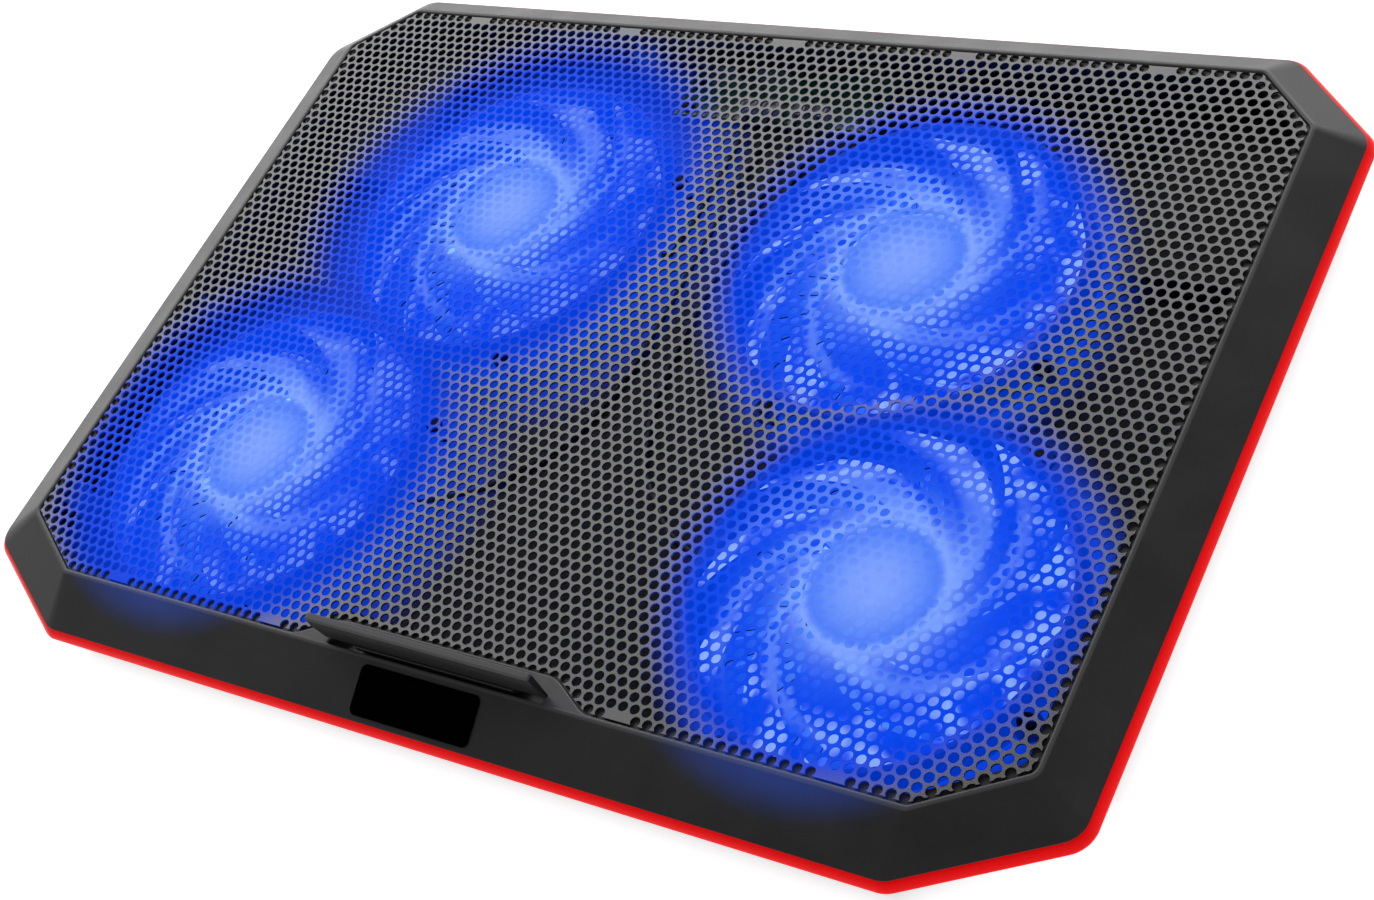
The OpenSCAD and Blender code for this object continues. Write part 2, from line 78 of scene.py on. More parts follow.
GRILLE_GAP = 0.4
OPENING_HALF = GRILLE_HIGH.x + GRILLE_GAP
OPENING_FRONT = GRILLE_LOW.y - GRILLE_GAP
OPENING_REAR = GRILLE_HIGH.y + GRILLE_GAP
LIP_W = 1.3
TRIM_OUT = 1.6          # how far the trim stands out past the bevel's foot
SKIRT_IN = 3.5          # how far the skirt lies inside the trim's outline
BUMP_FOOT = 51          # half widths of the bump at the front edge, and its depth
BUMP_TOP = 38
BUMP_D = 7.8
TRIM_CUTS = (43, 24.7), (30.1, 27.6)        # clipped corners, (across, deep), at the front and the rear
OPENING_CUTS = (26.6, 16.3), (19, 18)
CORNER_R = 3
BUMP_R = 9

FANS = ("front_left", "front_right", "rear_left", "rear_right")


def fan_centre(fan):
    """The middle of a fan's shaft."""
    low, high = node_box("rotor_shaft_" + fan)
    return (low + high) / 2


FAN_AT = {fan: fan_centre(fan) for fan in FANS}
FRONT_FAN = FAN_AT["front_right"]
REAR_FAN = FAN_AT["rear_right"]

# ---- outlines: lists of (x, y) in millimetres ----


def clipped(half, front, rear, front_cut, rear_cut):
    """A rectangle with four clipped corners, anticlockwise from the front left."""
    fx, fy = front_cut
    rx, ry = rear_cut
    corners = [(-half + fx, front), (half - fx, front), (half, front + fy), (half, rear - ry),
               (half - rx, rear), (-half + rx, rear), (-half, rear - ry), (-half, front + fy)]
    return [np.array(p, float) for p in corners]


def unit(v):
    """v at length 1."""
    return v / np.linalg.norm(v)


def outward(a, b):
    """The direction out of an outline across its side from a to b."""
    d = unit(b - a)
    return np.array((d[1], -d[0]))


def inset(points, d):
    """The outline moved inwards by d along every side."""
    moved = []
    for i, p in enumerate(points):
        n1 = outward(points[i - 1], p)
        n2 = outward(p, points[(i + 1) % len(points)])
        moved.append(p - d * (n1 + n2) / (1 + n1 @ n2))
    return moved


def rounded(points, radii, steps=8):
    """The outline with its corners rounded, whichever way each one turns."""
    if not hasattr(radii, "__len__"):
        radii = [radii] * len(points)
    line = []
    for i, p in enumerate(points):
        d1 = unit(p - points[i - 1])
        d2 = unit(points[(i + 1) % len(points)] - p)
        side = 1 if d1[0] * d2[1] > d1[1] * d2[0] else -1
        turn = math.acos(min(1, max(-1, d1 @ d2)))
        normal = side * np.array((d1[1], -d1[0]))
        middle = p - d1 * radii[i] * math.tan(turn / 2) - normal * radii[i]
        start = math.atan2(normal[1], normal[0])
        for k in range(steps + 1):
            angle = start + side * turn * k / steps
            line.append(middle + radii[i] * np.array((math.cos(angle), math.sin(angle))))
    return line


def circle(x, y, r, count=32):
    return [np.array((x + r * math.cos(a), y + r * math.sin(a)))
            for a in (2 * math.pi * k / count for k in range(count))]


def rectangle(x0, y0, x1, y1):
    return [np.array(p, float) for p in ((x0, y0), (x1, y0), (x1, y1), (x0, y1))]


TRIM_LINE = clipped(BODY_HALF, FRONT_Y, REAR_Y, *TRIM_CUTS)
OPENING_LINE = clipped(OPENING_HALF, OPENING_FRONT, OPENING_REAR, *OPENING_CUTS)
NOTCHED_LINE = [OPENING_LINE[0], np.array((-BUMP_FOOT, OPENING_FRONT)),
                np.array((-BUMP_TOP, OPENING_FRONT + BUMP_D)), np.array((BUMP_TOP, OPENING_FRONT + BUMP_D)),
                np.array((BUMP_FOOT, OPENING_FRONT))] + OPENING_LINE[1:]
NOTCHED_RADII = [CORNER_R] + [BUMP_R] * 4 + [CORNER_R] * 7


def notched(d):
    """The opening's outline round the bump, drawn in by d."""
    return rounded(inset(NOTCHED_LINE, d), NOTCHED_RADII)


# ---- meshes ----


def inside(points, loops):
    """Which points lie inside an odd number of the loops."""
    odd = np.zeros(len(points), bool)
    x, y = points[:, 0], points[:, 1]
    for loop in loops:
        a = np.array(loop)
        near = (y >= a[:, 1].min()) & (y <= a[:, 1].max())
        px, py = x[near, None], y[near, None]
        b = np.roll(a, -1, 0)
        crosses = (a[:, 1] > py) != (b[:, 1] > py)
        rise = np.where(b[:, 1] == a[:, 1], 1, b[:, 1] - a[:, 1])
        at = a[:, 0] + (py - a[:, 1]) * (b[:, 0] - a[:, 0]) / rise
        odd[near] ^= (crosses & (px < at)).sum(1) % 2 == 1
    return odd


def triangulate(loops):
    """Delaunay triangles over closed loops: points, triangles, and the loop point behind each point."""
    edges = []
    start = 0
    for loop in loops:
        n = len(loop)
        edges += [(start + k, start + (k + 1) % n) for k in range(n)]
        start += n
    points = [Vector(p) for loop in loops for p in loop]
    found, _, triangles, came_from, _, _ = geometry.delaunay_2d_cdt(points, edges, [], 0, 1e-5)
    return np.array([tuple(p) for p in found]), np.array(triangles), [c[0] if c else -1 for c in came_from]


class Shell:
    """A mesh under construction, in millimetres."""

    def __init__(self):
        self.points = []
        self.faces = []

    def ring(self, points, z=None, place=None):
        """Adds a closed loop of points: flat outline points at height z, or points in space."""
        start = len(self.points)
        for p in points:
            q = Vector((p[0], p[1], p[2] if z is None else z))
            self.points.append(tuple(place @ q if place else q))
        return list(range(start, len(self.points)))

    def band(self, a, b):
        for i in range(len(a)):
            self.faces.append((a[i - 1], a[i], b[i], b[i - 1]))

    def bands(self, rings):
        for a, b in zip(rings, rings[1:]):
            self.band(a, b)

    def cap(self, ring):
        self.faces.append(tuple(ring))

    def sheet(self, loops, across=(0, 1)):
        """Fills the flat area between loops of points that are already there. across names its two axes."""
        a, b = across
        flat = [[(self.points[i][a], self.points[i][b]) for i in loop] for loop in loops]
        index = [i for loop in loops for i in loop]
        points, triangles, came_from = triangulate(flat)
        keep = inside(points[triangles].mean(1), flat)
        self.faces += [tuple(index[came_from[i]] for i in t) for t in triangles[keep]]

    def closed(self, rings):
        """A solid lofted through rings, capped at both ends."""
        self.bands(rings)
        self.cap(rings[0])
        self.cap(rings[-1])

    def lathe(self, profile, x, y, count=48):
        """A profile of (radius, height) turned round a vertical axis. Returns its rings."""
        rings = [self.ring(circle(x, y, r, count), z) for r, z in profile]
        self.bands(rings)
        return rings

    def mesh(self, name, closed=True):
        """The finished mesh, in metres. A closed one gets every face turned outwards."""
        made = bpy.data.meshes.new(name)
        made.from_pydata((np.array(self.points) * MM).tolist(), [], self.faces)
        if not closed:
            return made
        bm = bmesh.new()
        bm.from_mesh(made)
        bmesh.ops.recalc_face_normals(bm, faces=bm.faces)
        bm.to_mesh(made)
        bm.free()
        return made


def add_object(name, data):
    made = bpy.data.objects.new(name, data)
    bpy.context.scene.collection.objects.link(made)
    return made


def piece(name, shell, body, material, replaced=(), sharp=40):
    """A visible piece of the object. Edges that turn by more than the sharp angle, in degrees, stay crisp."""
    mesh = shell.mesh(name)
    mesh.polygons.foreach_set("use_smooth", [True] * len(mesh.polygons))
    mesh.set_sharp_from_angle(angle=math.radians(sharp))
    mesh.materials.append(material)
    obj = add_object(name, mesh)
    obj.modifiers.new("even_shading", "WEIGHTED_NORMAL").keep_sharp = True
    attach(obj, body)
    if replaced:
        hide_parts(*replaced)
    return obj


def cut_box(obj, low, high):
    """Cuts a straight-sided window into a piece, for good."""
    s = Shell()
    line = rectangle(low[0], low[1], high[0], high[1])
    s.closed([s.ring(line, low[2]), s.ring(line, high[2])])
    cutter = add_object("cutter", s.mesh("cutter"))
    cut = obj.modifiers.new("window", "BOOLEAN")
    cut.operation = "DIFFERENCE"
    cut.solver = "EXACT"
    cut.object = cutter
    obj.modifiers.move(obj.modifiers.find("window"), 0)
    shading = obj.modifiers["even_shading"]
    shading.show_viewport = False
    found = bpy.data.meshes.new_from_object(obj.evaluated_get(bpy.context.evaluated_depsgraph_get()))
    shading.show_viewport = True
    obj.modifiers.remove(cut)
    obj.data = found
    bpy.data.objects.remove(cutter)


# ---- materials ----


def linear(r, g, b):
    """A display colour, 0 to 255, as the linear colour that a shader takes."""
    def one(v):
        v /= 255
        return v / 12.92 if v <= 0.04045 else ((v + 0.055) / 1.055) ** 2.4
    return one(r), one(g), one(b), 1


def set_stops(ramp, stops):
    """Fills a new colour ramp, which starts with two stops, from (position, colour) pairs in rising order."""
    for k, (at, colour) in enumerate(stops):
        stop = ramp.elements[k] if k < 2 else ramp.elements.new(at)
        stop.position = at
        stop.color = colour


class Material:
    """A node material around one Principled shader."""

    def __init__(self, name, roughness=0.5, metallic=0.0, ior=1.45, coat=0.0):
        self.made = bpy.data.materials.new(name)
        self.made.use_nodes = True
        self.tree = self.made.node_tree
        self.shader = self.tree.nodes["Principled BSDF"]
        self.shader.inputs["Roughness"].default_value = roughness
        self.shader.inputs["Metallic"].default_value = metallic
        self.shader.inputs["IOR"].default_value = ior
        self.shader.inputs["Coat Weight"].default_value = coat
        self.shader.inputs["Coat Roughness"].default_value = 0.08
        self.place = self.node("ShaderNodeTexCoord").outputs["Object"]

    def node(self, kind, settings=None, **inputs):
        """Adds a node. An input is given by its name, or as i0, i1 and so on by its number."""
        made = self.tree.nodes.new(kind)
        for name, value in (settings or {}).items():
            setattr(made, name, value)
        for key, value in inputs.items():
            socket = made.inputs[int(key[1:])] if key[0] == "i" and key[1:].isdigit() else made.inputs[key]
            self.give(socket, value)
        return made

    def give(self, socket, value):
        """Links a socket to another one's output, or sets it to a plain value."""
        if isinstance(value, bpy.types.NodeSocket):
            self.tree.links.new(value, socket)
        else:
            socket.default_value = value

    def math(self, operation, a, b=0.0, c=0.0):
        made = self.node("ShaderNodeMath", {"operation": operation}, i0=a, i1=b, i2=c)
        return made.outputs[0]

    def between(self, value, low, high, out_low=0.0, out_high=1.0):
        """value mapped smoothly from one range to another, held at both ends."""
        made = self.node("ShaderNodeMapRange", {"interpolation_type": "SMOOTHSTEP"}, i0=value, i1=low,
                         i2=high, i3=out_low, i4=out_high)
        return made.outputs[0]

    def mixed(self, share, a, b):
        made = self.node("ShaderNodeMix", {"data_type": "RGBA"})
        self.give(made.inputs[0], share)
        self.give(made.inputs[6], a)
        self.give(made.inputs[7], b)
        return made.outputs[2]

    def noise(self, size_mm, detail=2.0, place=None, roughness=0.5):
        made = self.node("ShaderNodeTexNoise", Vector=place or self.place, Scale=1 / (size_mm * MM),
                         Detail=detail, Roughness=roughness)
        return made.outputs["Fac"]

    def ramp(self, value, stops):
        """value turned into a colour by (position, colour) stops."""
        made = self.node("ShaderNodeValToRGB", i0=value)
        set_stops(made.color_ramp, stops)
        return made.outputs["Color"]

    def split(self):
        """The x, y and z of a surface point, in metres."""
        return self.node("ShaderNodeSeparateXYZ", Vector=self.place).outputs

    def bump(self, height, strength, distance_mm):
        made = self.node("ShaderNodeBump", Height=height, Strength=strength, Distance=distance_mm * MM)
        self.give(self.shader.inputs["Normal"], made.outputs["Normal"])

    def set(self, name, value):
        self.give(self.shader.inputs[name], value)


def plastic(name, colour, roughness, grain_mm=0.5, grain=0.25, ior=1.46):
    """Moulded plastic: a fine spark-eroded grain, faint cloudiness and uneven gloss."""
    m = Material(name, roughness, ior=ior)
    grains = m.noise(grain_mm, 3.0)
    clouds = m.noise(24, 2.0)
    darker = tuple(c * 0.8 for c in colour[:3]) + (1,)
    lighter = tuple(min(1, c * 1.2) for c in colour[:3]) + (1,)
    both = m.math("ADD", m.math("MULTIPLY", grains, 0.5), m.math("MULTIPLY", clouds, 0.5))
    m.set("Base Color", m.ramp(both, [(0.3, darker), (0.7, lighter)]))
    m.set("Roughness", m.between(both, 0.3, 0.7, roughness * 0.9, roughness * 1.12))
    m.bump(grains, grain, 0.05)
    return m.made


def metal(name, colour, roughness, scratch=0.15):
    """Plated or turned metal: fine lines along one direction and slight stains."""
    m = Material(name, roughness, metallic=1.0)
    stretched = m.node("ShaderNodeMapping", Vector=m.place, Scale=(0.15, 1.0, 1.0)).outputs[0]
    lines = m.noise(0.25, 2.0, stretched)
    stains = m.noise(4.0, 2.0)
    darker = tuple(c * 0.78 for c in colour[:3]) + (1,)
    m.set("Base Color", m.ramp(stains, [(0.35, darker), (0.65, colour)]))
    m.set("Roughness", m.between(lines, 0.3, 0.7, roughness * 0.8, roughness * 1.25))
    m.bump(lines, scratch, 0.02)
    return m.made


def fan_polar(m, shift=(0.0, 0.0)):
    """Distance (mm) and angle of a surface point about its own fan's axis. shift moves the centre, in mm."""
    split = m.split()
    x, y = split[0], split[1]
    side = m.math("SIGN", x)
    apart = (FRONT_FAN - REAR_FAN) * MM
    middle = (FRONT_FAN + REAR_FAN) / 2 * MM
    along = m.math("ADD", m.math("MULTIPLY", m.math("ABSOLUTE", x), apart.x), m.math("MULTIPLY", y, apart.y))
    front = m.math("GREATER_THAN", along, middle.x * apart.x + middle.y * apart.y)
    centre_x = m.math("MULTIPLY", side, m.math("MULTIPLY_ADD", front, apart.x, REAR_FAN.x * MM))
    centre_y = m.math("MULTIPLY_ADD", front, apart.y, REAR_FAN.y * MM)
    dx = m.math("SUBTRACT", m.math("SUBTRACT", x, centre_x), shift[0] * MM)
    dy = m.math("SUBTRACT", m.math("SUBTRACT", y, centre_y), shift[1] * MM)
    square = m.math("ADD", m.math("MULTIPLY", dx, dx), m.math("MULTIPLY", dy, dy))
    radius = m.math("MULTIPLY", m.math("SQRT", square), 1 / MM)
    return radius, m.math("ARCTAN2", dy, dx)


# Colour of the painted fan glow by distance from the fan's axis, in millimetres
GLOW = [(0, (128, 164, 254)), (6, (124, 160, 252)), (10, (112, 151, 250)), (14, (96, 139, 248)),
        (16.8, (80, 126, 246)), (18, (92, 136, 247)), (19.6, (128, 166, 253)), (22.5, (118, 157, 251)),
        (26, (84, 131, 246)), (30, (42, 99, 240)), (36, (16, 81, 237)), (46, (5, 70, 234)),
        (56, (2, 62, 222)), (80, (2, 46, 170))]
GLOW_REACH = 80
DEEP_GLOW = [(0.2, linear(90, 136, 248)), (0.38, linear(64, 116, 243)), (0.5, linear(26, 86, 236)),
             (0.65, linear(10, 66, 222)), (0.8, linear(6, 48, 180))]
DEEP_BLUE = linear(5, 60, 233)
PALE_BLUE = linear(128, 164, 255)
STREAKS = 6
SWIRL = math.radians(3.1)     # angle that a streak turns per millimetre outwards


def glow_colour(m, radius, angle):
    """The painted fan glow: a pale hub, a thin bright ring, and soft streaks that spiral out over deep blue.
    """
    plain = m.ramp(m.math("DIVIDE", radius, GLOW_REACH), [(r / GLOW_REACH, linear(*c)) for r, c in GLOW])
    turned = m.math("SUBTRACT", angle, m.math("MULTIPLY", m.math("SUBTRACT", radius, 17.0), SWIRL))
    uneven = m.math("SINE", m.math("MULTIPLY_ADD", turned, 2.0, 0.7))
    more_uneven = m.math("SINE", m.math("MULTIPLY_ADD", turned, 5.0, 2.1))
    wobble = m.math("MULTIPLY_ADD", more_uneven, 0.7, m.math("MULTIPLY", uneven, 1.1))
    wave = m.math("SINE", m.math("MULTIPLY_ADD", turned, STREAKS, wobble))
    streak = m.between(wave, -0.1, 1.0)
    ring = m.math("MULTIPLY", m.between(radius, 19, 25), m.between(radius, 50, 36))
    gaps = m.math("MULTIPLY", ring, m.math("SUBTRACT", 1.0, streak))
    shade = m.mixed(m.math("MULTIPLY", gaps, 0.45), plain, DEEP_BLUE)
    return m.mixed(m.math("MULTIPLY", m.math("MULTIPLY", ring, streak), 0.36), shade, PALE_BLUE)


def left_spread(m, radius):
    """radius made smaller over the two left fans, where the painted glow reaches a little further."""
    return m.math("MULTIPLY", radius, m.between(m.split()[0], -20 * MM, 20 * MM, 0.82, 1.0))


def grille_paint_and_painted_glow():
    """Grey paint on punched sheet. Over each fan its colour is made near black under a painted blue glow of
    the fans' light, centred 3.2 mm, -2.4 mm off the fan's axis.
    """
    m = Material("grille_paint_and_painted_glow", 0.42, metallic=1.0)
    radius, angle = fan_polar(m, shift=(3.2, -2.4))
    spread = left_spread(m, radius)
    grains = m.noise(0.4, 2.0)
    paint = m.ramp(grains, [(0.3, (0.1, 0.1, 0.101, 1)), (0.7, (0.126, 0.126, 0.127, 1))])
    # painted: the base colour is made near black over each fan, under the painted glow
    m.set("Base Color", m.mixed(m.between(spread, 62, 48), paint, (0.001, 0.004, 0.02, 1)))
    m.set("Roughness", m.between(grains, 0.3, 0.7, 0.38, 0.48))
    m.bump(grains, 0.12, 0.03)
    # painted glow of the fans' light on the sheet, which is no lamp
    m.set("Emission Color", glow_colour(m, radius, angle))
    m.set("Emission Strength", m.math("MULTIPLY", m.between(spread, 66, 48), 0.97))
    return m.made


def rotor_glow():
    """Tinted plastic with a painted glow of the fans' light: bright near the hub, saturated blue outwards,
    painted pale light spots near the rim.
    """
    m = Material("rotor_glow", 0.5, ior=1.1)
    radius, angle = fan_polar(m)
    split = m.split()
    clouds = m.noise(4.0, 1.0)
    patches = m.noise(13.0, 1.0)
    # painted pale light spots near the rim, stronger over the right fans
    painted_light_spots = m.math("MULTIPLY", m.between(patches, 0.42, 0.6), m.between(radius, 33, 42))
    painted_light_spots = m.math("MULTIPLY", painted_light_spots, m.between(split[0], -20 * MM, 20 * MM, 0.35, 0.75))
    m.set("Base Color", m.ramp(clouds, [(0.3, (0.004, 0.012, 0.1, 1)), (0.7, (0.006, 0.02, 0.14, 1))]))
    m.set("Emission Color", m.mixed(painted_light_spots, glow_colour(m, radius, angle), linear(160, 196, 255)))
    m.set("Emission Strength", m.between(clouds, 0.3, 0.7, 0.9, 1.0))
    return m.made


def fan_frame_plastic():
    """Smoky plastic with a painted glow of the fans' light, from the middle of the fan out to its ring."""
    m = Material("fan_frame_smoke", 0.4, ior=1.2)
    radius, angle = fan_polar(m)
    grains = m.noise(0.6, 2.0)
    m.set("Base Color", m.ramp(grains, [(0.3, (0.006, 0.008, 0.03, 1)), (0.7, (0.008, 0.011, 0.04, 1))]))
    m.set("Roughness", m.between(grains, 0.3, 0.7, 0.36, 0.46))
    m.bump(grains, 0.15, 0.04)
    # painted glow of the fans' light; the frame is no lamp
    m.set("Emission Color", glow_colour(m, radius, angle))
    m.set("Emission Strength", m.between(left_spread(m, radius), 62, 48, 0.1, 0.95))
    return m.made


def frame_plastic():
    """Fine-grained black plastic, with a painted highlight along the top of the lip and a faint painted blue
    glow at the front beside the fans.
    """
    m = Material("frame_black", 0.36, ior=1.33)
    radius, _ = fan_polar(m)
    grains = m.noise(0.45, 3.0)
    clouds = m.noise(18, 3.0)
    both = m.math("ADD", m.math("MULTIPLY", grains, 0.45), m.math("MULTIPLY", clouds, 0.55))
    split = m.split()
    body = m.ramp(both, [(0.3, (0.015, 0.015, 0.016, 1)), (0.7, (0.023, 0.023, 0.024, 1))])
    # painted highlight: a paler colour along the top of the lip
    painted_lip_highlight = m.between(split[2], (TOP_Z - 0.3) * MM, (TOP_Z - 0.05) * MM)
    m.set("Base Color", m.mixed(painted_lip_highlight, body, (0.05, 0.05, 0.053, 1)))
    m.set("Roughness", m.between(both, 0.3, 0.7, 0.33, 0.42))
    m.bump(grains, 0.35, 0.05)
    # painted faint blue glow of the fans' light on the front beside the fans
    at_front = m.between(split[1], (OPENING_FRONT + 4) * MM, (OPENING_FRONT - 4) * MM)
    m.set("Emission Color", (0.0, 0.11, 0.9, 1))
    m.set("Emission Strength", m.math("MULTIPLY", m.between(radius, 71, 57, 0.0, 0.2), at_front))
    return m.made


def cover_plastic():
    """Matt black plastic. Inside the casing a painted blue glow of the fans' light lies on the floor under
    each fan and on the walls of the vent slots.
    """
    m = Material("cover_black", 0.45, ior=1.2)
    radius, _ = fan_polar(m)
    split = m.split()
    grains = m.noise(0.7, 3.0)
    m.set("Base Color", m.ramp(grains, [(0.3, (0.008, 0.008, 0.009, 1)), (0.7, (0.012, 0.012, 0.013, 1))]))
    m.set("Roughness", m.between(grains, 0.3, 0.7, 0.4, 0.5))
    m.bump(grains, 0.5, 0.05)
    behind_sides = m.math("MULTIPLY", m.between(m.math("ABSOLUTE", split[0]), (BODY_HALF - 9) * MM,
                                                (BODY_HALF - 12) * MM),
                          m.between(split[1], (FRONT_Y + 9) * MM, (FRONT_Y + 12) * MM))
    above_floor = m.between(split[2], (FLOOR_Z - 0.6) * MM, (FLOOR_Z - 0.1) * MM)
    # painted light: the fans' blue glow on the inner floor
    painted_floor_light = m.math("MULTIPLY", m.math("MULTIPLY", behind_sides, above_floor),
                      m.between(left_spread(m, radius), 69, 54))
    # painted light: the fans' blue glow on the vent slots' walls
    painted_slot_light = m.math("MULTIPLY", m.between(split[2], (COVER_Z + 0.5) * MM, (COVER_Z + 1) * MM),
                      m.between(radius, 54, 50))
    m.set("Emission Color", m.ramp(m.math("DIVIDE", radius, GLOW_REACH), DEEP_GLOW))
    m.set("Emission Strength", m.math("MAXIMUM", painted_floor_light, painted_slot_light))
    return m.made


def stopper_plastic():
    """Satin black plastic, with a painted highlight: a paler colour along the top of the bar."""
    m = Material("stopper_grey", 0.45, ior=1.33)
    split = m.split()
    grains = m.noise(0.45, 3.0)
    body = m.ramp(grains, [(0.3, (0.008, 0.008, 0.009, 1)), (0.7, (0.012, 0.012, 0.013, 1))])
    # painted highlight along the top of the bar
    painted_top_highlight = m.between(split[2], (FLAP_HIGH.z - 0.9) * MM, (FLAP_HIGH.z - 0.3) * MM)
    m.set("Base Color", m.mixed(painted_top_highlight, body, (0.05, 0.05, 0.052, 1)))
    m.set("Roughness", m.between(grains, 0.3, 0.7, 0.4, 0.5))
    m.bump(grains, 0.35, 0.05)
    return m.made


def trim_red():
    """Saturated red plastic with a faint painted red glow all round."""
    m = Material("trim_red", 0.34, ior=1.16)
    grains = m.noise(0.6, 2.0)
    m.set("Base Color", m.ramp(grains, [(0.3, (0.66, 0.002, 0.003, 1)), (0.7, (0.72, 0.003, 0.004, 1))]))
    m.set("Roughness", m.between(grains, 0.3, 0.7, 0.3, 0.4))
    m.bump(grains, 0.06, 0.03)
    # painted glow; the trim is no lamp
    m.set("Emission Color", (0.8, 0.002, 0.003, 1))
    m.set("Emission Strength", 0.22)
    return m.made


def board_green():
    """Green lacquer over a pattern of copper tracks."""
    m = Material("board_green", 0.35, coat=0.4)
    tracks = m.node("ShaderNodeTexBrick", {"offset": 0.5}, Vector=m.place, Scale=180.0,
                    Color1=(0.01, 0.09, 0.03, 1), Color2=(0.012, 0.11, 0.04, 1), Mortar=(0.02, 0.16, 0.06, 1))
    m.set("Base Color", tracks.outputs["Color"])
    m.bump(tracks.outputs["Fac"], 0.2, 0.03)
    return m.made


def light_blue():
    """The clear lens of a small lamp that is on."""
    m = Material("light_blue", 0.2)
    clouds = m.noise(1.5, 1.0)
    m.set("Base Color", m.ramp(clouds, [(0.3, (0.3, 0.45, 0.8, 1)), (0.7, (0.5, 0.65, 0.9, 1))]))
    m.set("Emission Color", linear(120, 165, 255))
    m.set("Emission Strength", m.between(clouds, 0.3, 0.7, 0.9, 1.2))
    return m.made


def floor_paint():
    """Pale matt paint, lit evenly round the pad. Under the vents a painted pool of the fans' blue light lies
    on it.
    """
    m = Material("floor_paint", 0.7)
    clouds = m.noise(60.0, 2.0)
    radius, _ = fan_polar(m)
    split = m.split()
    across = m.math("ABSOLUTE", split[0])
    along = m.math("ABSOLUTE", split[1])
    beside_x = m.between(across, 165 * MM, 190 * MM)
    beside_y = m.between(along, 115 * MM, 135 * MM)
    past_corners = m.between(m.math("ADD", across, along), 250 * MM, 280 * MM)
    beside = m.math("MAXIMUM", m.math("MAXIMUM", beside_x, beside_y), past_corners)
    m.set("Base Color", m.ramp(clouds, [(0.3, (0.80, 0.80, 0.80, 1)), (0.7, (0.82, 0.82, 0.82, 1))]))
    m.set("Specular IOR Level", 0.1)
    blue = m.ramp(m.math("DIVIDE", radius, GLOW_REACH), DEEP_GLOW)
    # painted pool of the fans' blue light under the vents
    painted_vent_light = m.between(radius, 60, 52)
    m.set("Emission Color", m.mixed(painted_vent_light, (1, 1, 1, 1), blue))
    far = m.node("ShaderNodeVectorMath", {"operation": "LENGTH"}, Vector=m.place).outputs["Value"]
    white = m.math("MULTIPLY", beside, m.between(far, 300 * MM, 900 * MM, 0.84, 0.5))
    m.set("Emission Strength", m.math("MAXIMUM", white, painted_vent_light))
    return m.made


FRAME_PLASTIC = frame_plastic()
COVER_PLASTIC = cover_plastic()
TRIM_RED = trim_red()
BADGE_GLOSS = plastic("badge_gloss", (0.0003, 0.0003, 0.0003, 1), 0.08, 1.2, 0.0, ior=1.04)
STOPPER_PLASTIC = stopper_plastic()
RUBBER = plastic("rubber_black", (0.012, 0.012, 0.012, 1), 0.75, 0.9, 0.6, ior=1.5)
FAN_PLASTIC = fan_frame_plastic()
LEG_PLASTIC = plastic("leg_black", (0.011, 0.011, 0.012, 1), 0.45, 0.6, 0.4)
KNOB_PLASTIC = plastic("knob_black", (0.015, 0.015, 0.016, 1), 0.4, 0.4, 0.3)
SOCKET_WHITE = plastic("socket_white", (0.42, 0.41, 0.37, 1), 0.45, 0.8, 0.1)
LEAD_RUBBER = plastic("lead_black", (0.012, 0.012, 0.013, 1), 0.5, 0.5, 0.2)
STATOR_COPPER = metal("stator_copper", (0.75, 0.33, 0.17, 1), 0.35, 0.5)
BEARING_BRASS = metal("bearing_brass", (0.62, 0.46, 0.2, 1), 0.3)
MAGNET_GREY = metal("magnet_grey", (0.18, 0.18, 0.19, 1), 0.5)
STEEL = metal("steel_plated", (0.55, 0.55, 0.56, 1), 0.28)
BLACK_STEEL = metal("steel_blackened", (0.02, 0.02, 0.022, 1), 0.45)
USB_METAL = metal("usb_nickel", (0.62, 0.61, 0.58, 1), 0.25)
GRILLE_PAINT_AND_GLOW = grille_paint_and_painted_glow()
ROTOR_GLOW = rotor_glow()
BOARD_GREEN = board_green()
LIGHT_BLUE = light_blue()

# ---- camera ----

LENS_MM = 59.01
SENSOR_MM = 36
EYE_FROM_MIDDLE = Vector((379.2, -292.0, 451.2))
TARGET_FROM_MIDDLE = Vector((40.6, -35.1, 0))
CAMERA_ROLL = -32.77        # degrees


def make_camera():
    """Above the front right corner, turned so that the pad lies across the picture's diagonal."""
    lens = bpy.data.cameras.new("camera")
    lens.lens = LENS_MM
    lens.sensor_width = SENSOR_MM
    middle = Vector((0, (OPENING_FRONT + OPENING_REAR) / 2, TOP_Z))
    eye = (middle + EYE_FROM_MIDDLE) * MM
    ahead = (TARGET_FROM_MIDDLE - EYE_FROM_MIDDLE).normalized()
    level = ahead.cross(Vector((0, 0, 1))).normalized()
    upright = level.cross(ahead)
    roll = math.radians(CAMERA_ROLL)
    right = level * math.cos(roll) + upright * math.sin(roll)
    up = right.cross(ahead)
    camera = add_object("camera", lens)
    turn = Matrix((right, up, -ahead)).transposed()
    camera.matrix_world = Matrix.Translation(eye) @ turn.to_4x4()
    bpy.context.scene.camera = camera


make_camera()

# ---- top frame ----

BEVEL_FOOT = rounded(inset(TRIM_LINE, TRIM_OUT), 8)
BEVEL_TOP = rounded(inset(OPENING_LINE, -LIP_W), 4)


def bevel_ring(shell, share):
    """A ring on the bevel, from its foot at 0 to its top edge at 1."""
    points = [tuple(a * (1 - share) + b * share) + (TRIM_TOP + (TOP_Z - TRIM_TOP) * share,)
              for a, b in zip(BEVEL_FOOT, BEVEL_TOP)]
    return shell.ring(points)


